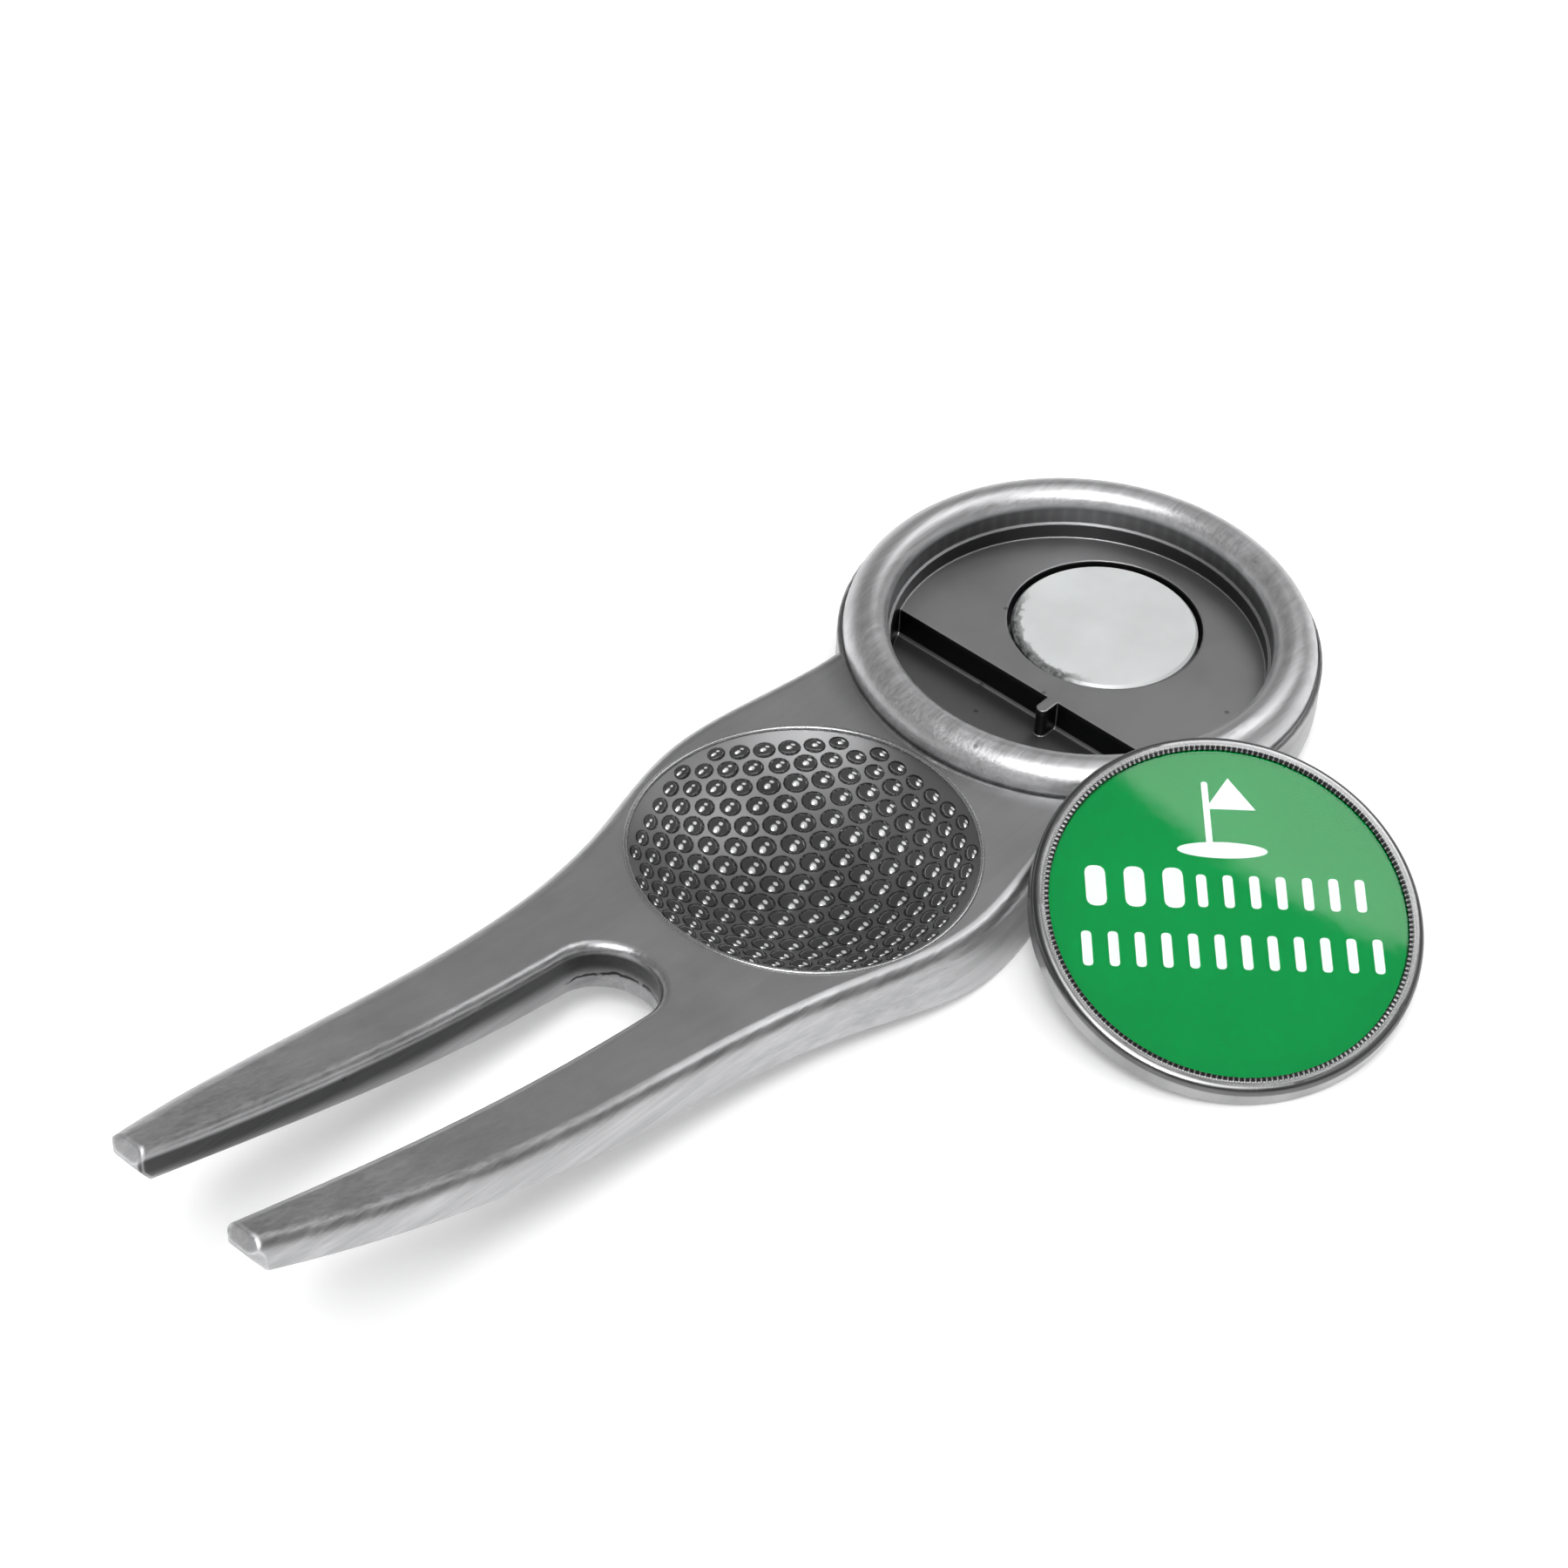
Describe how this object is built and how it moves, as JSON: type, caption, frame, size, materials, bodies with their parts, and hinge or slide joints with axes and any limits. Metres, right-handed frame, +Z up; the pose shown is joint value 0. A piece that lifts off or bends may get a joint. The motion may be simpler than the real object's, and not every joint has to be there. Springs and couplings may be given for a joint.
{
  "type": "golf divot repair tool with magnetic ball marker",
  "caption": "Pocket golf turf repair tool: round cup with a magnet and a lift-off disc marker, a ball-shaped dish and two upswept prongs.",
  "frame": {"origin": "on the cup's axis at the level of the flat underside, which is the surface the tool lies on", "axes": "+X from the cup to the prong tips, +Z up out of the cup, +Y to the side the marker leans on"},
  "size_m": [0.0915, 0.049, 0.0148],
  "materials": {
    "tool_metal": "satin, fine cast and brushed grey metal",
    "magnet_plating": "dull bright nickel plating, chipped at the rim",
    "adhesive": "thin adhesive disc",
    "marker_metal": "polished plated steel",
    "marker_print": "green printed insert",
    "clear_resin": "clear glossy resin"
  },
  "bodies": {
    "tool": {"tool_body": "tool_metal", "magnet": "magnet_plating", "magnet_adhesive": "adhesive"},
    "marker": {"marker_cup": "marker_metal", "marker_print": "marker_print", "marker_resin": "clear_resin"}
  },
  "joints": [
    {"name": "marker_lift", "type": "slide", "parent": "tool", "child": "marker", "axis": [0, 0, 1], "range_m": [0, 0.04]}
  ]
}
